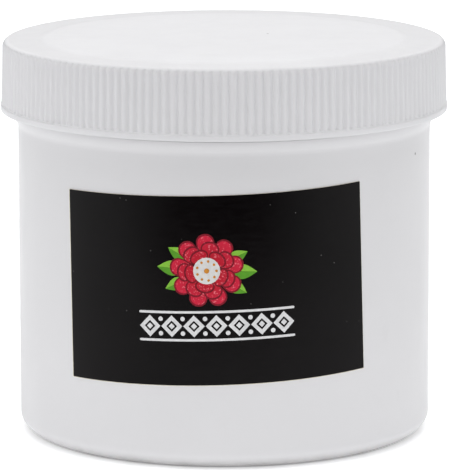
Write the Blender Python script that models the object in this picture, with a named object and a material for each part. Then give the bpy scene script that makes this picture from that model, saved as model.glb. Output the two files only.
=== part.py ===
"""A wide-mouthed plastic jar with a ribbed screw lid and a wrapped label, closed and standing.

The jar stands on the origin with +Z up and its label facing -Y. It is four solids: the jar with
its neck thread, the lid with its inner thread, the liner disc under the lid, and the label.
The threads are right-handed: turning the lid by +Z lifts it by PITCH for every turn.
"""
import math

import bmesh
import bpy
from mathutils import Matrix, Vector

MM = 0.001
TURN = 2 * math.pi
FIT_GAP = 0.3 * MM            # between pieces that touch

# Jar
BODY_RADIUS = 56.75 * MM
WALL = 1.8 * MM
FOOT_RADIUS = 50.75 * MM      # outer edge of the flat ring the jar stands on
FOOT_WIDTH = 4.5 * MM
FOOT_CORNER_HEIGHT = 4.8 * MM
PUSH_UP = 1.5 * MM            # how far the base's middle stands off the table
PUSH_UP_SLOPE = 4.0 * MM      # width of the ramp from the foot ring up to it
FLOOR = 2.0 * MM
INNER_CORNER = (5.0 * MM, 4.0 * MM)
FLARE_START = 84.5 * MM       # where the wall turns outwards under the lid
FLARE_ROUND = 4.5 * MM
FLARE_ANGLE = 22.0            # degrees off the vertical
COLLAR_RADIUS = 58.2 * MM     # outer edge of the ledge that the flare ends in
COLLAR_TOP = 89.0 * MM
COLLAR_EDGE = 0.3 * MM
BORE_STEP = 2.0 * MM          # height of the slope from the wall in to the neck's bore
NECK_RADIUS = 55.9 * MM
NECK_TOP = 104.9 * MM
NECK_BORE = 54.0 * MM
RIM_ROUND = 0.5 * MM

# Lid
LID_RADIUS = 61.5 * MM        # over the plain band at the bottom edge
LID_BOTTOM = 89.45 * MM
BAND_HEIGHT = 1.7 * MM
CREST_TOP = 61.2 * MM         # radius over the ribs at the top of the skirt
CREST_FOOT = 61.3 * MM        # and down at the band
RIB_DEPTH = 0.6 * MM
RIB_COUNT = 168
RIB_FOOT = 0.6 * MM           # height over which each groove fades out at its foot
LEDGE_SLOPE = 0.25 * MM       # fall of the band's upper face, out from the ribs
LID_TOP = 108.6 * MM
LID_EDGE_ROUND = 1.8 * MM
PANEL_RADIUS = 50.0 * MM      # raised middle of the lid's top
PANEL_RISE = 0.4 * MM
PANEL_EDGE = 3.0 * MM         # width of the slope round the panel
LID_BORE = 58.7 * MM
CEILING = 106.5 * MM
LIP_CHAMFER = 0.3 * MM

# Thread, one start on each piece
PITCH = 5.08 * MM
THREAD_TURNS = 1.25
NECK_THREAD_BASE = 96.2 * MM  # height of the neck ridge's lower end
NECK_CREST = 57.8 * MM
NECK_HALF_WIDTHS = (1.25 * MM, 0.50 * MM)   # at the ridge's root and at its crest
LID_CREST = 56.9 * MM
LID_HALF_WIDTHS = (1.15 * MM, 0.45 * MM)
THREAD_OFFSET = 1.70 * MM     # the lid's ridge hangs this far under the neck's
THREAD_ROOT = 0.6 * MM        # how deep a ridge is sunk into its wall
THREAD_FADE = 1 / 24          # share of a turn over which each end runs out
THREAD_STEPS = 48             # sections per turn

# Liner
LINER_RADIUS = 58.2 * MM
LINER_THICKNESS = 1.0 * MM

# Label
LABEL_WIDTH = 85.8 * MM
LABEL_HEIGHT = 51.3 * MM
LABEL_CENTRE_HEIGHT = 48.85 * MM
LABEL_THICKNESS = 0.25 * MM
LABEL_TILT = math.radians(1.9)
LABEL_SKEW = 0.7 * MM         # how much further its left end reaches at the foot than at the head
LABEL_COLUMNS = 36

JAR_COLUMNS = 96
LID_COLUMNS = 168             # smooth rings on the outside of the lid
LID_INNER_COLUMNS = 84
RIB_COLUMNS = 3               # groove, crest, crest


def clear_scene():
    """Remove whatever the open file holds."""
    for thing in list(bpy.data.objects):
        bpy.data.objects.remove(thing, do_unlink=True)


def make_material(name, colour, roughness):
    """A plain dielectric surface."""
    material = bpy.data.materials.new(name)
    material.use_nodes = True
    shader = material.node_tree.nodes["Principled BSDF"]
    shader.inputs["Base Color"].default_value = (*colour, 1.0)
    shader.inputs["Roughness"].default_value = roughness
    shader.inputs["Metallic"].default_value = 0.0
    return material


def add_object(name, bm, material, smooth_angle=math.radians(35)):
    """Close the mesh into an object and shade its round faces smooth."""
    bmesh.ops.recalc_face_normals(bm, faces=bm.faces)
    mesh = bpy.data.meshes.new(name)
    bm.to_mesh(mesh)
    bm.free()
    mesh.materials.append(material)
    mesh.shade_smooth()
    mesh.set_sharp_from_angle(angle=smooth_angle)
    thing = bpy.data.objects.new(name, mesh)
    bpy.context.scene.collection.objects.link(thing)
    return thing


def arc(centre, radii, start_degrees, end_degrees, steps):
    """Points of a (radius, height) profile along an elliptical arc."""
    points = []
    for step in range(steps + 1):
        angle = math.radians(start_degrees + (end_degrees - start_degrees) * step / steps)
        points.append((centre[0] + radii[0] * math.cos(angle), centre[1] + radii[1] * math.sin(angle)))
    return points


def add_ring(bm, radius, height, columns):
    """A circle of vertices round the axis."""
    ring = []
    for column in range(columns):
        angle = TURN * column / columns
        ring.append(bm.verts.new((radius * math.cos(angle), radius * math.sin(angle), height)))
    return ring


def add_ribbed_ring(bm, crest, depth, height):
    """A circle of vertices that dips by depth at each groove between the ribs."""
    ring = []
    columns = RIB_COUNT * RIB_COLUMNS
    for column in range(columns):
        angle = TURN * column / columns
        radius = crest - depth if column % RIB_COLUMNS == 0 else crest
        ring.append(bm.verts.new((radius * math.cos(angle), radius * math.sin(angle), height)))
    return ring


def stitch(bm, first, second):
    """Join two rings whose counts are equal or a whole multiple of each other."""
    fine, coarse = (first, second) if len(first) >= len(second) else (second, first)
    ratio = len(fine) // len(coarse)
    for index, corner in enumerate(coarse):
        following = coarse[(index + 1) % len(coarse)]
        start = index * ratio
        if ratio == 1:
            bm.faces.new((corner, following, fine[(start + 1) % len(fine)], fine[start]))
            continue
        middle = ratio // 2
        for step in range(ratio):
            apex = corner if step < middle else following
            bm.faces.new((fine[start + step], fine[(start + step + 1) % len(fine)], apex))
        bm.faces.new((corner, fine[start + middle], following))


def cap(bm, ring, height):
    """Close a ring with a fan round a point on the axis."""
    centre = bm.verts.new((0, 0, height))
    for index, corner in enumerate(ring):
        bm.faces.new((corner, ring[(index + 1) % len(ring)], centre))


def join_rings(bm, rings, start_height, end_height):
    """Skin a run of rings and close both ends on the axis."""
    for first, second in zip(rings, rings[1:]):
        stitch(bm, first, second)
    cap(bm, rings[0], start_height)
    cap(bm, rings[-1], end_height)


def helix_ridge(material, crest, wall, half_widths, base_height):
    """A closed ridge of trapezoid section that climbs one right-handed thread.

    crest is the ridge's far edge and wall the surface it stands on. Its root is sunk into the
    wall, and both ends run out into the wall.
    """
    outward = 1 if crest > wall else -1
    root = wall - outward * THREAD_ROOT
    root_half, crest_half = half_widths
    slope = (root_half - crest_half) / abs(crest - wall)
    sunk_half = root_half + slope * THREAD_ROOT
    sections = round(THREAD_TURNS * THREAD_STEPS)
    bm = bmesh.new()
    previous = None
    for section in range(sections + 1):
        turns = THREAD_TURNS * section / sections
        fade = min(1.0, turns / THREAD_FADE, (THREAD_TURNS - turns) / THREAD_FADE)
        sunk_end = wall - outward * THREAD_ROOT / 2
        edge = sunk_end + fade * (crest - sunk_end)
        edge_half = sunk_half - slope * abs(edge - root)
        angle = TURN * turns
        height = base_height + PITCH * turns
        across = Vector((math.cos(angle), math.sin(angle), 0))
        corners = []
        for radius, half in ((root, -sunk_half), (edge, -edge_half), (edge, edge_half), (root, sunk_half)):
            corners.append(bm.verts.new(across * radius + Vector((0, 0, height + half))))
        if previous is None:
            bm.faces.new(corners)
        else:
            for index in range(4):
                following = (index + 1) % 4
                bm.faces.new((previous[index], previous[following], corners[following], corners[index]))
        previous = corners
    bm.faces.new(reversed(previous))
    return add_object("ridge", bm, material)


def fuse(body, ridge):
    """Weld a thread ridge into its piece and drop the loose copy."""
    weld = body.modifiers.new("thread", "BOOLEAN")
    weld.operation = "UNION"
    weld.solver = "EXACT"
    weld.object = ridge
    bpy.context.view_layer.update()
    welded = bpy.data.meshes.new_from_object(body.evaluated_get(bpy.context.evaluated_depsgraph_get()))
    body.modifiers.clear()
    body.data = welded
    bpy.data.objects.remove(ridge, do_unlink=True)


def jar_profile():
    """The jar's wall as (radius, height) points, from under the base up and down inside."""
    foot_inner = FOOT_RADIUS - FOOT_WIDTH
    corner = BODY_RADIUS - FOOT_RADIUS
    rim_height = NECK_TOP - RIM_ROUND
    inner = BODY_RADIUS - WALL
    inner_corner = (inner - INNER_CORNER[0], PUSH_UP + FLOOR + INNER_CORNER[1])
    return [
        (foot_inner - PUSH_UP_SLOPE, PUSH_UP),
        (foot_inner, 0.0),
        *arc((FOOT_RADIUS, FOOT_CORNER_HEIGHT), (corner, FOOT_CORNER_HEIGHT), -90, 0, 7),
        *arc((BODY_RADIUS + FLARE_ROUND, FLARE_START), (FLARE_ROUND,) * 2, 180, 180 - FLARE_ANGLE, 4),
        (COLLAR_RADIUS, COLLAR_TOP - COLLAR_EDGE),
        (COLLAR_RADIUS - COLLAR_EDGE, COLLAR_TOP),
        (NECK_RADIUS, COLLAR_TOP),
        *arc((NECK_RADIUS - RIM_ROUND, rim_height), (RIM_ROUND,) * 2, 0, 90, 2),
        *arc((NECK_BORE + RIM_ROUND, rim_height), (RIM_ROUND,) * 2, 90, 180, 2),
        (NECK_BORE, FLARE_START),
        (inner, FLARE_START - BORE_STEP),
        *arc(inner_corner, INNER_CORNER, 0, -90, 5),
    ]


def build_jar(material):
    """The jar with the thread on its neck."""
    bm = bmesh.new()
    rings = [add_ring(bm, radius, height, JAR_COLUMNS) for radius, height in jar_profile()]
    join_rings(bm, rings, PUSH_UP, PUSH_UP + FLOOR)
    jar = add_object("jar", bm, material)
    fuse(jar, helix_ridge(material, NECK_CREST, NECK_RADIUS, NECK_HALF_WIDTHS, NECK_THREAD_BASE))
    return jar


def add_skirt_ring(bm, depth, height):
    """A ribbed ring of the skirt, which widens downwards."""
    skirt_top = LID_TOP - LID_EDGE_ROUND
    share = (skirt_top - height) / (skirt_top - LID_BOTTOM - BAND_HEIGHT)
    return add_ribbed_ring(bm, CREST_TOP + share * (CREST_FOOT - CREST_TOP), depth, height)


def lid_rings(bm):
    """The lid's rings from the middle of its top, down the ribs and up inside to the ceiling."""
    band_top = LID_BOTTOM + BAND_HEIGHT
    groove_foot = band_top + LEDGE_SLOPE
    rings = [
        add_ring(bm, PANEL_RADIUS - PANEL_EDGE / 2, LID_TOP + PANEL_RISE, LID_INNER_COLUMNS),
        add_ring(bm, PANEL_RADIUS + PANEL_EDGE / 2, LID_TOP, LID_INNER_COLUMNS),
    ]
    edge_centre = (CREST_TOP - LID_EDGE_ROUND, LID_TOP - LID_EDGE_ROUND)
    for radius, height in arc(edge_centre, (LID_EDGE_ROUND, LID_EDGE_ROUND), 90, 0, 4):
        depth = max(0.0, radius - (CREST_TOP - RIB_DEPTH))
        rings.append(add_ribbed_ring(bm, radius, depth, height))
    rings.append(add_skirt_ring(bm, RIB_DEPTH, groove_foot + RIB_FOOT))
    rings.append(add_skirt_ring(bm, 0.0, groove_foot))
    for radius, height in (
        (LID_RADIUS, band_top),
        (LID_RADIUS, LID_BOTTOM + LIP_CHAMFER),
        (LID_RADIUS - LIP_CHAMFER, LID_BOTTOM),
    ):
        rings.append(add_ring(bm, radius, height, LID_COLUMNS))
    for radius, height in (
        (LID_BORE + LIP_CHAMFER, LID_BOTTOM),
        (LID_BORE, LID_BOTTOM + LIP_CHAMFER),
        (LID_BORE, CEILING),
    ):
        rings.append(add_ring(bm, radius, height, LID_INNER_COLUMNS))
    return rings


def build_lid(material):
    """The lid with the thread inside its skirt."""
    bm = bmesh.new()
    join_rings(bm, lid_rings(bm), LID_TOP + PANEL_RISE, CEILING)
    lid = add_object("lid", bm, material)
    ridge_base = NECK_THREAD_BASE - THREAD_OFFSET
    fuse(lid, helix_ridge(material, LID_CREST, LID_BORE, LID_HALF_WIDTHS, ridge_base))
    return lid


def build_liner(material):
    """The sealing disc between the lid's ceiling and the jar's rim."""
    top = CEILING - FIT_GAP
    bottom = top - LINER_THICKNESS
    bm = bmesh.new()
    rings = [add_ring(bm, LINER_RADIUS, height, LID_INNER_COLUMNS) for height in (bottom, top)]
    join_rings(bm, rings, bottom, top)
    return add_object("liner", bm, material)


def build_label(material):
    """The label: a tilted rectangle, cut a little askew on the left, rolled round the jar's wall."""
    bm = bmesh.new()
    tilt = Matrix.Rotation(LABEL_TILT, 2)
    inner = BODY_RADIUS + FIT_GAP
    layers = []
    for radius in (inner, inner + LABEL_THICKNESS):
        rows = []
        for side in (-0.5, 0.5):
            row = []
            for column in range(LABEL_COLUMNS + 1):
                share = column / LABEL_COLUMNS
                skew = (1 - share) * side * LABEL_SKEW
                flat = Vector(((share - 0.5) * LABEL_WIDTH + skew, side * LABEL_HEIGHT))
                across, up = tilt @ flat
                angle = across / inner
                place = (radius * math.sin(angle), -radius * math.cos(angle), LABEL_CENTRE_HEIGHT + up)
                row.append(bm.verts.new(place))
            rows.append(row)
        layers.append(rows)
    (back_low, back_high), (front_low, front_high) = layers
    for column in range(LABEL_COLUMNS):
        here, there = column, column + 1
        bm.faces.new((front_low[here], front_low[there], front_high[there], front_high[here]))
        bm.faces.new((back_high[here], back_high[there], back_low[there], back_low[here]))
        bm.faces.new((back_low[here], back_low[there], front_low[there], front_low[here]))
        bm.faces.new((front_high[here], front_high[there], back_high[there], back_high[here]))
    for column in (0, LABEL_COLUMNS):
        bm.faces.new((back_low[column], front_low[column], front_high[column], back_high[column]))
    return add_object("label", bm, material)


def main():
    clear_scene()
    white = (0.83, 0.83, 0.85)
    build_jar(make_material("jar_plastic", white, 0.35))
    build_lid(make_material("lid_plastic", (0.86, 0.86, 0.88), 0.40))
    build_liner(make_material("liner_foam", (0.90, 0.90, 0.88), 0.80))
    build_label(make_material("label_print", (0.012, 0.012, 0.014), 0.45))


main()
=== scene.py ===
"""Looks of the screw-lid jar: moulded white plastic, a ribbed lid and a printed black label."""
import math

import bmesh
import bpy
from mathutils import Matrix, Vector


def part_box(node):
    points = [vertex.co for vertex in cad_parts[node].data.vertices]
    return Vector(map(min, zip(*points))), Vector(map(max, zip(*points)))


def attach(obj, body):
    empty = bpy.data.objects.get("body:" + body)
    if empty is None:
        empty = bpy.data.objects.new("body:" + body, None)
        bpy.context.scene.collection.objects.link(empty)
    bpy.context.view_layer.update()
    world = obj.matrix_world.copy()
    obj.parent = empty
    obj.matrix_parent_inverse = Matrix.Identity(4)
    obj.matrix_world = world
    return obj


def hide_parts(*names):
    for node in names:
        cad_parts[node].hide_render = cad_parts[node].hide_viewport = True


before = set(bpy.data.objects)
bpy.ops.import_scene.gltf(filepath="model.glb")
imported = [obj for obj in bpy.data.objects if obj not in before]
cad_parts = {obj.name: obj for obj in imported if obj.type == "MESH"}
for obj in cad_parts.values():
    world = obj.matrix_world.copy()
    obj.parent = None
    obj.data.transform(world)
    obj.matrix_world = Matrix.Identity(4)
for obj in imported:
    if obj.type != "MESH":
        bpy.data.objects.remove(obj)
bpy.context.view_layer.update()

MM = 0.001
TURN = 2 * math.pi

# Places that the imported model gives
lid_low, lid_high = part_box("lid")
NECK_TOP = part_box("jar")[1].z
LID_RADIUS = lid_high.x
LID_BOTTOM = lid_low.z
LID_HEIGHT = lid_high.z

# Jar wall, as in the solid model
BODY_RADIUS = 56.75 * MM
WALL = 1.8 * MM
FOOT_RADIUS = 50.75 * MM
FOOT_WIDTH = 4.5 * MM
FOOT_CORNER_HEIGHT = 4.8 * MM
PUSH_UP = 1.5 * MM
PUSH_UP_SLOPE = 4.0 * MM
FLOOR = 2.0 * MM
INNER_CORNER = (5.0 * MM, 4.0 * MM)
FLARE_START = 84.5 * MM
FLARE_ROUND = 4.5 * MM
FLARE_ANGLE = 22.0
COLLAR_RADIUS = 58.2 * MM
COLLAR_TOP = 89.0 * MM
COLLAR_EDGE = 0.25 * MM
NECK_RADIUS = 55.9 * MM
NECK_CREST = 57.8 * MM
NECK_BORE = 54.0 * MM
BORE_STEP = 2.0 * MM          # height of the slope from the wall's inside to the neck's bore
RIM_ROUND = 0.5 * MM

# Lid
BAND_HEIGHT = 1.7 * MM        # the plain band under the ribs
LEDGE_ROUND = 0.3 * MM        # its upper edge
CREST_TOP = 60.9 * MM         # radius over the ribs at the top of the skirt
CREST_FOOT = 61.3 * MM        # and down at the band
RIB_COUNT = 168
RIB_DEPTH = 0.62 * MM
RIB_SHARPNESS = 3.0           # how narrow the grooves are beside the ribs
RIB_FOOT = 0.7 * MM           # the grooves run out over this height
LID_EDGE_ROUND = 1.8 * MM
PANEL_RADIUS = 50.0 * MM
PANEL_RISE = 0.4 * MM
PANEL_EDGE = 3.2 * MM         # width of the slope round the raised panel
LID_BORE = 58.7 * MM
CEILING = 106.5 * MM
CEILING_CORNER = 0.3 * MM
LIP_ROUND = 0.3 * MM

# Threads
PITCH = 5.08 * MM
THREAD_TURNS = 1.25
NECK_THREAD_BASE = 96.2 * MM
NECK_HALF_WIDTHS = (1.25 * MM, 0.50 * MM)
LID_CREST = 56.9 * MM
LID_HALF_WIDTHS = (1.15 * MM, 0.45 * MM)
THREAD_OFFSET = 1.70 * MM
THREAD_FADE = 1 / 24          # the ridge rises and falls over this part of a turn, at its ends
THREAD_ROW = 0.2 * MM         # spacing of the mesh rows across the threads
LID_THREAD_FOOT = NECK_THREAD_BASE - 4 * MM   # the lid's bore has such rows between these heights
LID_THREAD_TOP = NECK_THREAD_BASE + PITCH * THREAD_TURNS + 1 * MM

# Painted shade and highlights
SEAM_HEIGHT = 89.2 * MM       # painted shade darkens the gap under the lid round this height
GAP_SHADE_FADE = (0.1 * MM, 0.4 * MM)   # the painted shade fades out between these distances from there
FOOT_SHADE_HEIGHT = FOOT_CORNER_HEIGHT * 0.8   # painted shade darkens the foot up to here
TOP_FACE = (1.4 * MM, 1.0 * MM)     # the lid's top face starts between these depths
RIM_HIGHLIGHT = (59.0 * MM, 60.3 * MM)   # a painted highlight lightens the lid's edge between these distances
RIM_HIGHLIGHT_FADE = 0.4 * MM

# Label
LABEL_SIZE = (85.8 * MM, 51.3 * MM)
LABEL_CENTRE_HEIGHT = 48.98 * MM
LABEL_TILT = math.radians(1.9)
LABEL_SKEW = 0.7 * MM         # the left end reaches further at its foot
LABEL_BOW = 0.3 * MM          # how far the label's ends ride up
LABEL_CORNER = 0.2 * MM
STICKER_LIFT = 0.06 * MM      # from the wall to the sticker's back
STICKER_THICKNESS = 0.14 * MM
BLACK_MARGIN = (0.32 * MM, 0.24 * MM)   # the black print is smaller than the sticker by this,
BLACK_SHIFT = (0.09 * MM, 0.06 * MM)    # and off its centre by this
INK = 0.012 * MM              # thickness of one printed layer
PRINT_GRAIN = 0.004 * MM      # depth of its bumps
INK_GAP = 0.003 * MM          # from the sticker to the black ground
INK_STEP = 0.016 * MM         # from one layer to the next
PRINT_STRIP = 1.0 * MM        # printed shapes are cut into strips this wide, to bend with the wall
BLOOM_CENTRE = (-1.5 * MM, 5.5 * MM)
BLOOM_RADIUS = 10.0 * MM
BLOOM_RINGS = ((9, 1.0), (7, 0.80), (5, 0.61))   # petals in a ring, and how far they reach
BLOOM_HEART = 0.36            # radius of the heart against the bloom's
PETAL_FULLNESS = 1.17         # spread of a petal, against the spacing of its ring
PETAL_RIM = 0.5 * MM          # how far a petal's lighter face stops short of its tip
STAMENS = 9
STAMEN_REACH = 0.26           # against the bloom's radius
STAMEN_RADIUS = 0.36 * MM
EYE_RADIUS = 0.7 * MM
LEAVES = (                    # bearing in degrees, length and width, for one side of the bloom
    (1, 7.2 * MM, 4.0 * MM),
    (28, 5.8 * MM, 3.2 * MM),
    (-27, 6.0 * MM, 3.4 * MM),
)
LEAF_TURN = math.radians(4)
LEAF_ROOT = 0.62              # against the bloom's radius
LEAF_STEM = 0.08 * MM         # half width of a leaf at its root
MIDRIB = 0.07 * MM
FRIEZE_CENTRE = (0.7 * MM, -9.4 * MM)
FRIEZE_SIZE = (42.0 * MM, 8.2 * MM)
FRIEZE_DIAMONDS = 7
FRIEZE_RULE = 0.65 * MM
FRIEZE_DOT = 0.62 * MM
DIAMOND = (0.96, 0.72)        # width against the pitch, height against the frieze's
DIAMOND_HOLE = (0.50, 0.37)
DIAMOND_CORE = (0.28, 0.21)

# Colours
JAR_WHITE = (0.738, 0.733, 0.746)
LID_WHITE = (0.784, 0.780, 0.797)
DIRT = (0.10, 0.09, 0.08)
# grey of the painted shade in the gap under the lid
GAP_SHADE_GREY = (0.16, 0.15, 0.14)
# grey of the painted shade on the foot
FOOT_SHADE_GREY = (0.24, 0.23, 0.22)
FOAM = ((0.70, 0.70, 0.68), (0.86, 0.86, 0.84))
PAPER_CREAM = ((0.74, 0.69, 0.58), (0.85, 0.81, 0.72))
PRINT_BLACK = ((0.0010, 0.0005, 0.0006), (0.0034, 0.0022, 0.0026))
PRINT_DUST = (0.35, 0.34, 0.33)
PRINT_WHITE = (0.76, 0.76, 0.77)
HEART_CREAM = (0.74, 0.73, 0.72)
STAMEN_GOLD = (0.62, 0.25, 0.03)
LEAF_LIGHT = (0.24, 0.54, 0.05)
LEAF_DARK = (0.10, 0.33, 0.02)
PETAL_DEEP = ((0.16, 0.002, 0.010), (0.20, 0.003, 0.014), (0.30, 0.02, 0.04))   # heart, tip, stipple
PETAL_BRIGHT = ((0.46, 0.004, 0.018), (0.60, 0.012, 0.045), (0.85, 0.22, 0.27))
FLOOR_WHITE = ((0.93, 0.935, 0.94), (0.95, 0.955, 0.96))
FLOOR_BLACK = (0.06, 0.06, 0.06)
STUDIO_WHITE = (0.985, 0.99, 1.0, 1.0)

# Studio
ROOM = 0.06                   # brightness of the surroundings
FLOOR_HALF = 4.0
FLOOR_GLOW = 0.37
SHADE_INNER = FOOT_RADIUS - 1 * MM   # it glows from between these radii outwards, not under the jar
SHADE_OUTER = BODY_RADIUS - 2 * MM
FLOOR_PALE = -0.25            # the floor turns dark between these, towards the camera
FLOOR_DARK = -0.90
CARD_FRONT = (-0.20, -0.36)   # a soft-edged dark card lies on the floor from here
CARD_SIDES = (0.12, 0.38)
LIGHTS = (                    # name, place, size, watts
    ("top_light", (0, 0.10, 1.5), (2.0, 2.0), 22),
    ("left_light", (-1.1, -0.35, 0.55), (1.6, 1.1), 3.8),
    ("right_light", (1.1, -0.35, 0.55), (1.6, 1.1), 3.3),
    ("back_light", (0, 1.6, 0.9), (2.0, 1.0), 10),
    ("low_light", (0, -1.6, 0.55), (1.4, 0.8), 6.6),
)
LIGHT_AIM = Vector((0, 0, 0.05))
LENS = 329.45
CAMERA_AZIMUTH = math.radians(3.05)
CAMERA_ELEVATION = math.radians(10.345)
CAMERA_ROLL = math.radians(-0.1)
CAMERA_DISTANCE = 1.2047
CAMERA_ORBIT = Vector((0, 0, 0.055))   # its distance and angles are taken from this point
CAMERA_AIM = Vector((0.0002, 0, 0.0528))

# Fineness of the meshes
JAR_COLUMNS = 288
RIB_COLUMNS = 10
LID_COLUMNS = RIB_COUNT * RIB_COLUMNS
LID_INNER_COLUMNS = LID_COLUMNS // 5


# ---------------------------------------------------------------- mesh tools

def arc(centre, radii, start_degrees, end_degrees, steps):
    """Points of a (radius, height) profile along an elliptical arc."""
    points = []
    for step in range(steps + 1):
        angle = math.radians(start_degrees + (end_degrees - start_degrees) * step / steps)
        points.append((centre[0] + radii[0] * math.cos(angle), centre[1] + radii[1] * math.sin(angle)))
    return points


def straight(start, end, spacing):
    """Points of a profile from start towards end, the end left out, at about the given spacing."""
    steps = max(1, round(math.dist(start, end) / spacing))
    return [tuple(a + (b - a) * step / steps for a, b in zip(start, end)) for step in range(steps)]


def add_ring(bm, radius, height, columns, relief=None):
    """A circle of vertices; relief(angle, height) moves each one outwards."""
    ring = []
    for column in range(columns):
        angle = TURN * column / columns
        reach = radius + (relief(angle, height) if relief else 0.0)
        ring.append(bm.verts.new((reach * math.cos(angle), reach * math.sin(angle), height)))
    return ring


def stitch(bm, first, second):
    """Join two rings whose counts are equal or a whole multiple of each other."""
    fine, coarse = (first, second) if len(first) >= len(second) else (second, first)
    ratio = len(fine) // len(coarse)
    for index, corner in enumerate(coarse):
        following = coarse[(index + 1) % len(coarse)]
        start = index * ratio
        if ratio == 1:
            bm.faces.new((corner, following, fine[(start + 1) % len(fine)], fine[start]))
            continue
        middle = ratio // 2
        for step in range(ratio):
            apex = corner if step < middle else following
            bm.faces.new((fine[start + step], fine[(start + step + 1) % len(fine)], apex))
        bm.faces.new((corner, fine[start + middle], following))


def cap(bm, ring, height):
    """Close a ring with a fan round a point on the axis."""
    centre = bm.verts.new((0, 0, height))
    for index, corner in enumerate(ring):
        bm.faces.new((corner, ring[(index + 1) % len(ring)], centre))


def join_rings(bm, rings, first_height, last_height):
    """Skin a stack of rings, and close its ends at two heights on the axis."""
    for first, second in zip(rings, rings[1:]):
        stitch(bm, first, second)
    cap(bm, rings[0], first_height)
    cap(bm, rings[-1], last_height)
    bmesh.ops.recalc_face_normals(bm, faces=bm.faces)


def finish_mesh(name, bm, material, sharp_degrees=40):
    """Turn a mesh whose faces point outwards into a smooth-shaded object."""
    mesh = bpy.data.meshes.new(name)
    bm.to_mesh(mesh)
    bm.free()
    mesh.materials.append(material)
    mesh.shade_smooth()
    mesh.set_sharp_from_angle(angle=math.radians(sharp_degrees))
    thing = bpy.data.objects.new(name, mesh)
    bpy.context.scene.collection.objects.link(thing)
    return thing


def ease(value, start, end):
    """A smooth step from 0 at start to 1 at end."""
    share = min(1.0, max(0.0, (value - start) / (end - start)))
    return share * share * (3 - 2 * share)


def thread_relief(height_of_ridge, half_widths, base_height):
    """How far a one-start thread ridge stands off its wall, as a function of angle and height."""
    root_half, crest_half = half_widths

    def relief(angle, height):
        lap = angle / TURN
        reach = 0.0
        while lap <= THREAD_TURNS:
            fade = min(1.0, lap / THREAD_FADE, (THREAD_TURNS - lap) / THREAD_FADE)
            off = abs(height - base_height - PITCH * lap)
            reach = max(reach, fade * (1 - ease(off, crest_half, root_half)))
            lap += 1
        return height_of_ridge * reach

    return relief


# ---------------------------------------------------------------- node tools

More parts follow.
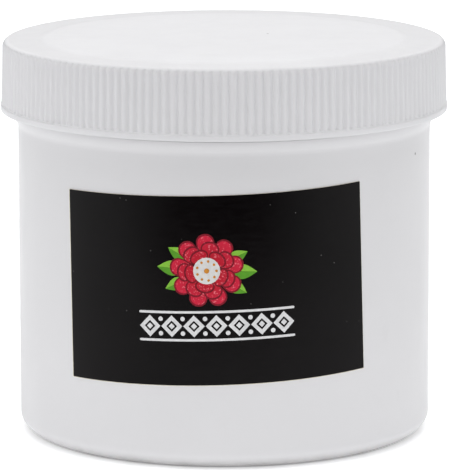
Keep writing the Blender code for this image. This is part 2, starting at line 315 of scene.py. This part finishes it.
class Nodes:
    """Short names for building a material's node tree."""

    def __init__(self, name, roughness, specular=0.5):
        self.material = bpy.data.materials.new(name)
        self.material.use_nodes = True
        self.tree = self.material.node_tree
        self.shader = self.tree.nodes["Principled BSDF"]
        self.shader.inputs["Roughness"].default_value = roughness
        self.shader.inputs["Specular IOR Level"].default_value = specular
        self.place = self.add("ShaderNodeTexCoord").outputs["Object"]

    def add(self, kind, **settings):
        """A new node with its properties set."""
        node = self.tree.nodes.new(kind)
        for key, value in settings.items():
            setattr(node, key, value)
        return node

    def feed(self, socket, value):
        """Link a socket, or set it where the value is plain."""
        if isinstance(value, bpy.types.NodeSocket):
            self.tree.links.new(value, socket)
        else:
            socket.default_value = value

    def maths(self, operation, first, second=0.0):
        """One Math node."""
        node = self.add("ShaderNodeMath", operation=operation)
        for socket, value in zip(node.inputs, (first, second)):
            self.feed(socket, value)
        return node.outputs[0]

    def stretch(self, value, low, high, to_low=0.0, to_high=1.0):
        """Map low..high smoothly to to_low..to_high."""
        node = self.add("ShaderNodeMapRange", interpolation_type="SMOOTHSTEP")
        for socket, number in zip(node.inputs, (value, low, high, to_low, to_high)):
            self.feed(socket, number)
        return node.outputs[0]

    def scaled_place(self, scale):
        """The object's own coordinates, times a vector."""
        node = self.add("ShaderNodeMapping")
        self.feed(node.inputs["Vector"], self.place)
        node.inputs["Scale"].default_value = scale
        return node.outputs[0]

    def noise(self, scale, detail=3.0, roughness=0.5, place=None):
        """Cloudy noise, about 0.5 in the middle; scale is in features a metre."""
        node = self.add("ShaderNodeTexNoise")
        self.feed(node.inputs["Vector"], place or self.place)
        node.inputs["Scale"].default_value = scale
        node.inputs["Detail"].default_value = detail
        node.inputs["Roughness"].default_value = roughness
        return node.outputs["Fac"]

    def specks(self, scale, size, share):
        """Small round spots in a share of the cells of a grid with scale cells a metre."""
        cells = self.add("ShaderNodeTexVoronoi")
        self.feed(cells.inputs["Vector"], self.place)
        cells.inputs["Scale"].default_value = scale
        pick = self.add("ShaderNodeSeparateColor")
        self.feed(pick.inputs[0], cells.outputs["Color"])
        chosen = self.maths("LESS_THAN", pick.outputs[0], share)
        spot = self.stretch(cells.outputs["Distance"], size * 0.6, size, 1.0, 0.0)
        return self.maths("MULTIPLY", chosen, spot)

    def blend(self, share, first, second):
        """Mix two colours."""
        node = self.add("ShaderNodeMix", data_type="RGBA")
        self.feed(node.inputs[0], share)
        self.feed(node.inputs[6], first if isinstance(first, bpy.types.NodeSocket) else (*first, 1.0))
        self.feed(node.inputs[7], second if isinstance(second, bpy.types.NodeSocket) else (*second, 1.0))
        return node.outputs[2]

    def ramp(self, value, stops):
        """Colours along a value."""
        node = self.add("ShaderNodeValToRGB")
        self.feed(node.inputs[0], value)
        elements = node.color_ramp.elements
        while len(elements) < len(stops):
            elements.new(0.5)
        for element, (position, colour) in zip(elements, stops):
            element.position = position
            element.color = (*colour, 1.0)
        return node.outputs[0]

    def bump(self, height, depth, below=None):
        """A bump of the given depth in metres, on top of an earlier one."""
        node = self.add("ShaderNodeBump")
        node.inputs["Distance"].default_value = depth
        self.feed(node.inputs["Height"], height)
        if below:
            self.feed(node.inputs["Normal"], below)
        return node.outputs[0]

    def axis_distance(self):
        """Distance from the jar's axis."""
        flat = self.add("ShaderNodeVectorMath", operation="MULTIPLY")
        self.feed(flat.inputs[0], self.place)
        flat.inputs[1].default_value = (1.0, 1.0, 0.0)
        length = self.add("ShaderNodeVectorMath", operation="LENGTH")
        self.feed(length.inputs[0], flat.outputs[0])
        return length.outputs["Value"]

    def height(self):
        """Height over the floor."""
        axes = self.add("ShaderNodeSeparateXYZ")
        self.feed(axes.inputs[0], self.place)
        return axes.outputs[2]

    def wire(self, colour=None, roughness=None, normal=None):
        """Connect the finished channels to the shader."""
        for name, value in (("Base Color", colour), ("Roughness", roughness), ("Normal", normal)):
            if value is not None:
                self.feed(self.shader.inputs[name], value)
        return self.material


# ---------------------------------------------------------------- materials

def toned(colour, share):
    """A colour made darker or lighter."""
    return tuple(channel * share for channel in colour)


def moulded_plastic(name, colour, roughness, grain):
    """White moulded plastic: uneven tone, orange-peel bump, scuffed roughness and a few dirt specks;
    painted shade in the gap under the lid, on the foot and on the lid's top outside its panel, and a
    painted highlight along the lid's edge.
    """
    nodes = Nodes(name, roughness, 0.2)
    cloud = nodes.noise(28, 3)
    tone = nodes.blend(nodes.stretch(cloud, 0.3, 0.7), toned(colour, 0.985), colour)
    dust = nodes.noise(160, 4, 0.6)
    tone = nodes.blend(nodes.stretch(dust, 0.55, 0.8, 0.0, 0.25), tone, toned(colour, 0.93))
    dirt = nodes.specks(170, 0.075, 0.018)
    tone = nodes.blend(nodes.maths("MULTIPLY", dirt, 0.75), tone, DIRT)
    height, reach = nodes.height(), nodes.axis_distance()
    # painted shade round the gap under the lid
    off_seam = nodes.maths("ABSOLUTE", nodes.maths("SUBTRACT", height, SEAM_HEIGHT))
    tone = nodes.blend(nodes.stretch(off_seam, *GAP_SHADE_FADE, 0.3, 0.0), tone, GAP_SHADE_GREY)
    # painted shade on the foot, mottled by the dust noise
    foot_shade = nodes.maths("MULTIPLY", nodes.stretch(height, 0.0, FOOT_SHADE_HEIGHT, 1.0, 0.0),
                          nodes.stretch(dust, 0.3, 0.7, 0.52, 0.72))
    tone = nodes.blend(foot_shade, tone, FOOT_SHADE_GREY)
    on_top = nodes.stretch(height, *(LID_HEIGHT - depth for depth in TOP_FACE))
    # painted shade: the lid's top is darker outside its raised panel
    slope = (PANEL_RADIUS - PANEL_EDGE / 2, PANEL_RADIUS + PANEL_EDGE / 2)
    ring_shade = nodes.maths("MULTIPLY", on_top, nodes.stretch(reach, *slope, 0.0, 0.8))
    tone = nodes.blend(ring_shade, tone, toned(colour, 0.93))
    # painted highlight: a lighter line along the lid's top edge
    rim_highlight = nodes.maths("MULTIPLY", nodes.stretch(reach, RIM_HIGHLIGHT[0], RIM_HIGHLIGHT[0] + RIM_HIGHLIGHT_FADE),
                       nodes.stretch(reach, RIM_HIGHLIGHT[1], RIM_HIGHLIGHT[1] + RIM_HIGHLIGHT_FADE, 0.5, 0.0))
    tone = nodes.blend(nodes.maths("MULTIPLY", on_top, rim_highlight), tone, toned(colour, 1.04))
    scuff = nodes.noise(90, 5, 0.7, nodes.scaled_place((1.0, 1.0, 0.25)))
    rough = nodes.stretch(scuff, 0.35, 0.7, roughness - 0.04, roughness + 0.10)
    peel = nodes.bump(nodes.noise(420, 2), grain)
    fine = nodes.bump(nodes.noise(2600, 2), grain * 0.25, peel)
    return nodes.wire(tone, rough, fine)


def liner_foam():
    """Dull white foamed sheet with fine open cells."""
    nodes = Nodes("liner_foam", 0.8, 0.3)
    cells = nodes.add("ShaderNodeTexVoronoi")
    nodes.feed(cells.inputs["Vector"], nodes.place)
    cells.inputs["Scale"].default_value = 1800
    tone = nodes.ramp(cells.outputs["Distance"], ((0.0, FOAM[0]), (0.6, FOAM[1])))
    return nodes.wire(tone, None, nodes.bump(cells.outputs["Distance"], 0.05 * MM))


def sticker_paper():
    """The label's cream stock, seen along its cut edge."""
    nodes = Nodes("sticker_paper", 0.7, 0.3)
    fibre = nodes.noise(900, 4)
    tone = nodes.ramp(fibre, ((0.35, PAPER_CREAM[0]), (0.65, PAPER_CREAM[1])))
    return nodes.wire(tone, None, nodes.bump(fibre, 0.01 * MM))


def black_ink():
    """Satin black print with uneven density, dust and fine scratches."""
    nodes = Nodes("black_ink", 0.2, 0.11)
    density = nodes.noise(30, 3)
    tone = nodes.ramp(density, ((0.3, PRINT_BLACK[0]), (0.7, PRINT_BLACK[1])))
    dust = nodes.specks(600, 0.085, 0.07)
    tone = nodes.blend(nodes.maths("MULTIPLY", dust, 0.55), tone, PRINT_DUST)
    scratch = nodes.noise(260, 5, 0.75, nodes.scaled_place((1.0, 1.0, 3.5)))
    rough = nodes.stretch(scratch, 0.35, 0.7, 0.17, 0.27)
    return nodes.wire(tone, rough, nodes.bump(nodes.noise(1500, 3), 0.006 * MM))


def flat_ink(name, colour):
    """One printed colour with a little uneven cover."""
    nodes = Nodes(name, 0.45, 0.2)
    cover = nodes.noise(900, 4)
    tone = nodes.blend(nodes.stretch(cover, 0.3, 0.7), toned(colour, 0.88), colour)
    rough = nodes.stretch(nodes.noise(260, 4), 0.3, 0.7, 0.38, 0.52)
    return nodes.wire(tone, rough, nodes.bump(cover, PRINT_GRAIN))


def petal_ink(name, heart, tip, light):
    """Print that runs from one colour at the bloom's heart to another at its tips, with a light stipple."""
    nodes = Nodes(name, 0.45, 0.2)
    reach = nodes.add("ShaderNodeVectorMath", operation="DISTANCE")
    nodes.feed(reach.inputs[0], nodes.place)
    reach.inputs[1].default_value = wrap(*BLOOM_CENTRE, 0.0)
    share = nodes.stretch(reach.outputs["Value"], BLOOM_RADIUS * 0.25, BLOOM_RADIUS)
    tone = nodes.blend(share, heart, tip)
    stipple = nodes.stretch(nodes.noise(1900, 2), 0.56, 0.70, 0.0, 0.7)
    tone = nodes.blend(stipple, tone, light)
    return nodes.wire(tone, None, nodes.bump(nodes.noise(900, 4), PRINT_GRAIN))


def floor_paper():
    """The pale glowing surface round the jar. It gives way to a dark one in front, first at the middle."""
    nodes = Nodes("floor_paper", 0.9, 0.1)
    axes = nodes.add("ShaderNodeSeparateXYZ")
    nodes.feed(axes.inputs[0], nodes.place)
    aside = nodes.stretch(nodes.maths("ABSOLUTE", axes.outputs[0]), *CARD_SIDES)
    off_card = nodes.maths("MAXIMUM", aside, nodes.stretch(axes.outputs[1], CARD_FRONT[1], CARD_FRONT[0]))
    pale = nodes.maths("MULTIPLY", off_card, nodes.stretch(axes.outputs[1], FLOOR_DARK, FLOOR_PALE))
    paper = nodes.ramp(nodes.noise(3, 2), ((0.3, FLOOR_WHITE[0]), (0.7, FLOOR_WHITE[1])))
    open_floor = nodes.stretch(nodes.axis_distance(), SHADE_INNER, SHADE_OUTER, 0.0, FLOOR_GLOW)
    nodes.feed(nodes.shader.inputs["Emission Strength"], nodes.maths("MULTIPLY", pale, open_floor))
    nodes.shader.inputs["Emission Color"].default_value = STUDIO_WHITE
    return nodes.wire(nodes.blend(pale, FLOOR_BLACK, paper))


# ---------------------------------------------------------------- jar and lid

def jar_profile():
    """The jar's wall as (radius, height) points, from under the base up and down inside."""
    foot_inner = FOOT_RADIUS - FOOT_WIDTH
    corner = BODY_RADIUS - FOOT_RADIUS
    flare = arc((BODY_RADIUS + FLARE_ROUND, FLARE_START), (FLARE_ROUND,) * 2, 180, 180 - FLARE_ANGLE, 8)
    collar_edge = arc((COLLAR_RADIUS - COLLAR_EDGE, COLLAR_TOP - COLLAR_EDGE), (COLLAR_EDGE,) * 2, 0, 90, 3)
    neck_foot = (NECK_RADIUS, COLLAR_TOP)
    rim_height = NECK_TOP - RIM_ROUND
    inner = BODY_RADIUS - WALL
    inner_corner = (inner - INNER_CORNER[0], PUSH_UP + FLOOR + INNER_CORNER[1])
    foot_arc = arc((FOOT_RADIUS, FOOT_CORNER_HEIGHT), (corner, FOOT_CORNER_HEIGHT), -90, 0, 16)
    return [
        (foot_inner - PUSH_UP_SLOPE, PUSH_UP),
        (foot_inner - PUSH_UP_SLOPE * 0.6, PUSH_UP * 0.8),
        (foot_inner - PUSH_UP_SLOPE * 0.2, PUSH_UP * 0.15),
        (foot_inner, 0.0),
        *foot_arc,
        *straight(foot_arc[-1], flare[0], 4 * MM)[1:],
        *flare,
        *collar_edge,
        *straight(neck_foot, (NECK_RADIUS, rim_height), THREAD_ROW),
        *arc((NECK_RADIUS - RIM_ROUND, rim_height), (RIM_ROUND,) * 2, 0, 90, 5),
        *arc((NECK_BORE + RIM_ROUND, rim_height), (RIM_ROUND,) * 2, 90, 180, 5),
        (NECK_BORE, FLARE_START),
        (inner, FLARE_START - BORE_STEP),
        *arc(inner_corner, INNER_CORNER, 0, -90, 8),
    ]


def build_jar(material):
    """The jar, with the ridge of its thread raised from the neck."""
    ridge = thread_relief(NECK_CREST - NECK_RADIUS, NECK_HALF_WIDTHS, NECK_THREAD_BASE)
    bm = bmesh.new()
    rings = []
    for radius, height in jar_profile():
        on_neck = radius == NECK_RADIUS and height > COLLAR_TOP
        rings.append(add_ring(bm, radius, height, JAR_COLUMNS, ridge if on_neck else None))
    join_rings(bm, rings, PUSH_UP, PUSH_UP + FLOOR)
    jar = finish_mesh("jar_wall", bm, material)
    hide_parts("jar")
    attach(jar, "jar")


def rib_relief(rim_height, groove_foot):
    """The grooves between the ribs: they run straight up to the rounded edge and fade out at the foot."""

    def relief(angle, height):
        groove = abs(math.cos(angle * RIB_COUNT / 2)) ** RIB_SHARPNESS
        rise = max(0.0, height - rim_height + LID_EDGE_ROUND)
        drawn_in = LID_EDGE_ROUND - math.sqrt(max(0.0, LID_EDGE_ROUND ** 2 - rise ** 2))
        depth = max(0.0, RIB_DEPTH - drawn_in)
        return -depth * groove * ease(height, groove_foot, groove_foot + RIB_FOOT)

    return relief


def lid_rings(bm):
    """The lid's rings from the middle of its top, down the ribs and up inside to the ceiling."""
    rim_height = LID_HEIGHT - PANEL_RISE
    band_top = LID_BOTTOM + BAND_HEIGHT
    rings = []
    for radius in (PANEL_RADIUS / 3, PANEL_RADIUS * 2 / 3):
        rings.append(add_ring(bm, radius, LID_HEIGHT, LID_INNER_COLUMNS))
    for step in range(7):
        share = step / 6
        radius = PANEL_RADIUS + (share - 0.5) * PANEL_EDGE
        rings.append(add_ring(bm, radius, LID_HEIGHT - PANEL_RISE * ease(share, 0, 1), LID_INNER_COLUMNS))
    ribs = rib_relief(rim_height, band_top)
    edge = arc((CREST_TOP - LID_EDGE_ROUND, rim_height - LID_EDGE_ROUND), (LID_EDGE_ROUND,) * 2, 90, 0, 15)
    top, foot = edge[-1], (CREST_FOOT, band_top)

    def down_skirt(height):
        """The point of the skirt at a height."""
        share = (top[1] - height) / (top[1] - foot[1])
        return (top[0] + share * (foot[0] - top[0]), height)

    foot_start = down_skirt(band_top + RIB_FOOT)
    skirt = straight(top, foot_start, 8 * MM)[1:]
    skirt += [*straight(foot_start, foot, RIB_FOOT / 4), foot]
    for radius, height in edge + skirt:
        rings.append(add_ring(bm, radius, height, LID_COLUMNS, ribs))
    lip_height = LID_BOTTOM + LIP_ROUND
    lip = arc((LID_RADIUS - LIP_ROUND, lip_height), (LIP_ROUND,) * 2, 0, -90, 3)
    ledge = arc((LID_RADIUS - LEDGE_ROUND, band_top - LEDGE_ROUND), (LEDGE_ROUND,) * 2, 70, 0, 5)
    for radius, height in ledge + lip:
        rings.append(add_ring(bm, radius, height, LID_INNER_COLUMNS))
    ridge = thread_relief(LID_CREST - LID_BORE, LID_HALF_WIDTHS, NECK_THREAD_BASE - THREAD_OFFSET)
    inside = arc((LID_BORE + LIP_ROUND, lip_height), (LIP_ROUND,) * 2, -90, -180, 3)
    thread_top = (LID_BORE, LID_THREAD_TOP)
    inside += straight((LID_BORE, LID_THREAD_FOOT), thread_top, THREAD_ROW * 1.2)
    inside += [thread_top, (LID_BORE, CEILING - CEILING_CORNER), (LID_BORE - CEILING_CORNER, CEILING)]
    for radius, height in inside:
        rings.append(add_ring(bm, radius, height, LID_INNER_COLUMNS, ridge if radius == LID_BORE else None))
    return rings


def build_lid(material):
    """The lid, ribbed outside and threaded inside."""
    bm = bmesh.new()
    join_rings(bm, lid_rings(bm), LID_HEIGHT, CEILING)
    lid = finish_mesh("lid_shell", bm, material)
    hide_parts("lid")
    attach(lid, "lid")


# ---------------------------------------------------------------- label

def wrap(x, y, lift):
    """A point of the flat label, from its centre, laid on the jar's wall and lifted off it."""
    width, height = LABEL_SIZE
    skewed = x + (0.5 - x / width) * y / height * LABEL_SKEW
    bowed = y + LABEL_BOW * ((2 * x / width) ** 2 - 0.5)
    across, up = Matrix.Rotation(LABEL_TILT, 2) @ Vector((skewed, bowed))
    angle = across / BODY_RADIUS
    reach = BODY_RADIUS + lift
    return Vector((reach * math.sin(angle), -reach * math.cos(angle), LABEL_CENTRE_HEIGHT + up))


def print_shape(name, outlines, material, lift, thickness=INK):
    """Anticlockwise flat outlines, cut into narrow strips, given a thickness and laid on the jar."""
    bm = bmesh.new()
    for outline in outlines:
        bm.faces.new([bm.verts.new((x, y, 0)) for x, y in outline])
    low = min(x for outline in outlines for x, _ in outline)
    high = max(x for outline in outlines for x, _ in outline)
    for index in range(1, math.ceil((high - low) / PRINT_STRIP)):
        cut = Vector((low + index * PRINT_STRIP, 0, 0))
        whole = bm.verts[:] + bm.edges[:] + bm.faces[:]
        bmesh.ops.bisect_plane(bm, geom=whole, plane_co=cut, plane_no=(1, 0, 0))
    bmesh.ops.triangulate(bm, faces=bm.faces)
    bm.verts.index_update()
    solid = bmesh.new()
    under, over = ([solid.verts.new(wrap(vert.co.x, vert.co.y, height)) for vert in bm.verts]
                   for height in (lift, lift + thickness))
    for face in bm.faces:
        corners = [vert.index for vert in face.verts]
        solid.faces.new([over[corner] for corner in corners])
        solid.faces.new([under[corner] for corner in reversed(corners)])
        for loop in face.loops:
            if loop.edge.is_boundary:
                first, second = loop.vert.index, loop.link_loop_next.vert.index
                solid.faces.new((under[first], under[second], over[second], over[first]))
    bm.free()
    shape = finish_mesh(name, solid, material, 30)
    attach(shape, "jar")
    return shape


def rounded_rectangle(width, height, corner, centre=(0.0, 0.0)):
    """An outline, anticlockwise."""
    points = []
    for index, (side, end) in enumerate(((1, 1), (-1, 1), (-1, -1), (1, -1))):
        middle = (centre[0] + side * (width / 2 - corner), centre[1] + end * (height / 2 - corner))
        points += arc(middle, (corner, corner), 90 * index, 90 * index + 90, 5)
    return points


def layer(number):
    """Height of a printed layer off the wall; the black ground is layer 0."""
    return STICKER_LIFT + STICKER_THICKNESS + INK_GAP + number * INK_STEP


def bloom_point(reach, bearing):
    """A point at a distance and bearing from the bloom's centre."""
    return (BLOOM_CENTRE[0] + reach * math.cos(bearing), BLOOM_CENTRE[1] + reach * math.sin(bearing))


def petal(bearing, start, end, spread):
    """A rounded petal: it reaches from start to end off the bloom's centre and is spread radians wide."""
    points = []
    steps = 28
    for step in range(steps):
        turn = TURN * step / steps
        share = (1 - math.cos(turn)) / 2
        reach = start + (end - start) * share
        points.append(bloom_point(reach, bearing - spread / 2 * math.sin(turn) * share ** 0.35))
    return points


def leaf_half(root, bearing, length, width, side):
    """One half of a pointed leaf, beside its midrib; side is 1 or -1."""
    steps = 12
    along = Vector((math.cos(bearing), math.sin(bearing)))
    across = Vector((-along.y, along.x)) * side
    points = []
    for step in range(steps + 1):
        share = step / steps
        bulge = width / 2 * math.sin(math.pi * share ** 0.8) + LEAF_STEM * (1 - share)
        points.append(tuple(Vector(root) + along * length * share + across * bulge))
    for share in (1.0, 0.0):
        points.append(tuple(Vector(root) + along * length * share + across * MIDRIB * (1 - share)))
    return points if side < 0 else points[::-1]


def disc(centre, radius, points=20):
    """A round outline."""
    return arc(centre, (radius, radius), 0, 360 - 360 / points, points - 1)


def print_leaves(light, dark):
    """A spray of three leaves on each side of the bloom, light above the midrib and dark below."""
    upper, lower = [], []
    for side in (1, -1):
        for degrees, length, width in LEAVES:
            bearing = math.radians(degrees if side > 0 else 180 - degrees) - LEAF_TURN
            root = bloom_point(BLOOM_RADIUS * LEAF_ROOT, bearing)
            upper.append(leaf_half(root, bearing, length, width, side))
            lower.append(leaf_half(root, bearing, length, width, -side))
    print_shape("print_leaf_light", upper, light, layer(1))
    print_shape("print_leaf_dark", lower, dark, layer(1))


def print_bloom(deep, bright, heart, gold):
    """Rings of petals, each with a lighter face, round a pale heart."""
    radius = BLOOM_RADIUS
    for ring, (count, share) in enumerate(BLOOM_RINGS):
        bearings = [0.2 + 0.3 * ring + TURN * index / count for index in range(count)]
        reach, spread = radius * share, PETAL_FULLNESS * TURN / count
        rim = [petal(bearing, radius * 0.1, reach, spread) for bearing in bearings]
        face = [petal(bearing, radius * 0.2, reach - PETAL_RIM, spread * 0.86) for bearing in bearings]
        print_shape(f"print_petals_{ring}", rim, deep, layer(2 + 2 * ring))
        print_shape(f"print_petals_{ring}_face", face, bright, layer(3 + 2 * ring))
    top = 2 + 2 * len(BLOOM_RINGS)
    print_shape("print_heart", [disc(BLOOM_CENTRE, radius * BLOOM_HEART)], heart, layer(top))
    bearings = [TURN * index / STAMENS for index in range(STAMENS)]
    dots = [disc(bloom_point(radius * STAMEN_REACH, bearing), STAMEN_RADIUS, 10) for bearing in bearings]
    print_shape("print_stamens", dots + [disc(BLOOM_CENTRE, EYE_RADIUS)], gold, layer(top + 1))


def diamonds(centres, width, height):
    """Lozenge outlines."""
    return [[(x + width / 2, y), (x, y + height / 2), (x - width / 2, y), (x, y - height / 2)]
            for x, y in centres]


def print_frieze(white, black):
    """A chain of lozenges with dots between them, between thin rules."""
    x, y = FRIEZE_CENTRE
    width, height = FRIEZE_SIZE
    pitch = width / FRIEZE_DIAMONDS
    centres = [(x + (index - (FRIEZE_DIAMONDS - 1) / 2) * pitch, y) for index in range(FRIEZE_DIAMONDS)]
    outer, holes, cores = (diamonds(centres, pitch * across, height * up)
                           for across, up in (DIAMOND, DIAMOND_HOLE, DIAMOND_CORE))
    gaps = [(cx + pitch / 2, cy + end * height * 0.24) for cx, cy in centres[:-1] for end in (-1, 1)]
    dots = [disc(gap, FRIEZE_DOT, 14) for gap in gaps]
    rules = []
    for end in (-1, 1):
        middle = (x, y + end * (height - FRIEZE_RULE) / 2)
        rules.append(rounded_rectangle(width, FRIEZE_RULE, FRIEZE_RULE * 0.45, middle))
    print_shape("print_frieze", outer + rules + dots, white, layer(1))
    print_shape("print_frieze_holes", holes, black, layer(2))
    print_shape("print_frieze_cores", cores, white, layer(3))


def build_label(paper, black):
    """The cream sticker, the black print that misses its edges by a hair, and the design on it."""
    width, height = LABEL_SIZE
    edge = rounded_rectangle(width, height, LABEL_CORNER)
    sticker = print_shape("label_sticker", [edge], paper, STICKER_LIFT, STICKER_THICKNESS)
    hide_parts("label")
    inset = rounded_rectangle(width - BLACK_MARGIN[0], height - BLACK_MARGIN[1], LABEL_CORNER, BLACK_SHIFT)
    print_shape("label_black", [inset], black, layer(0))
    print_leaves(flat_ink("light_green_ink", LEAF_LIGHT), flat_ink("green_ink", LEAF_DARK))
    deep, bright = petal_ink("deep_red_ink", *PETAL_DEEP), petal_ink("red_ink", *PETAL_BRIGHT)
    print_bloom(deep, bright, flat_ink("cream_ink", HEART_CREAM), flat_ink("gold_ink", STAMEN_GOLD))
    print_frieze(flat_ink("white_ink", PRINT_WHITE), black)


# ---------------------------------------------------------------- studio

def softbox(name, place, size, power):
    """An area light aimed at the jar."""
    light = bpy.data.lights.new(name, "AREA")
    light.shape = "RECTANGLE"
    light.size, light.size_y = size
    light.energy = power
    thing = bpy.data.objects.new(name, light)
    thing.location = place
    thing.rotation_euler = (LIGHT_AIM - Vector(place)).to_track_quat("-Z", "Y").to_euler()
    bpy.context.scene.collection.objects.link(thing)


def studio():
    """Pale glowing floor, soft lights and the camera at the photograph's angle."""
    bm = bmesh.new()
    bmesh.ops.create_grid(bm, x_segments=8, y_segments=8, size=FLOOR_HALF)
    floor = finish_mesh("floor", bm, floor_paper())

    world = bpy.data.worlds.new("studio")
    bpy.context.scene.world = world
    world.use_nodes = True
    background = world.node_tree.nodes["Background"]
    background.inputs["Color"].default_value = STUDIO_WHITE
    background.inputs["Strength"].default_value = ROOM
    for light in LIGHTS:
        softbox(*light)

    camera = bpy.data.cameras.new("camera")
    camera.sensor_width = 36
    camera.lens = LENS
    eye = bpy.data.objects.new("camera", camera)
    ground = math.cos(CAMERA_ELEVATION)
    aside, back = math.sin(CAMERA_AZIMUTH) * ground, math.cos(CAMERA_AZIMUTH) * ground
    out = Vector((aside, -back, math.sin(CAMERA_ELEVATION)))
    eye.location = CAMERA_ORBIT + out * CAMERA_DISTANCE
    turn = (CAMERA_AIM - eye.location).to_track_quat("-Z", "Y").to_matrix()
    eye.rotation_euler = (turn @ Matrix.Rotation(CAMERA_ROLL, 3, "Z")).to_euler()
    bpy.context.scene.collection.objects.link(eye)
    bpy.context.scene.camera = eye
    bpy.context.scene.view_settings.view_transform = "Standard"


def main():
    """The whole scene."""
    build_jar(moulded_plastic("jar_plastic", JAR_WHITE, 0.34, 0.012 * MM))
    build_lid(moulded_plastic("lid_plastic", LID_WHITE, 0.42, 0.015 * MM))
    build_label(sticker_paper(), black_ink())
    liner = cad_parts["liner"]
    liner.data.materials.clear()
    liner.data.materials.append(liner_foam())
    studio()


main()
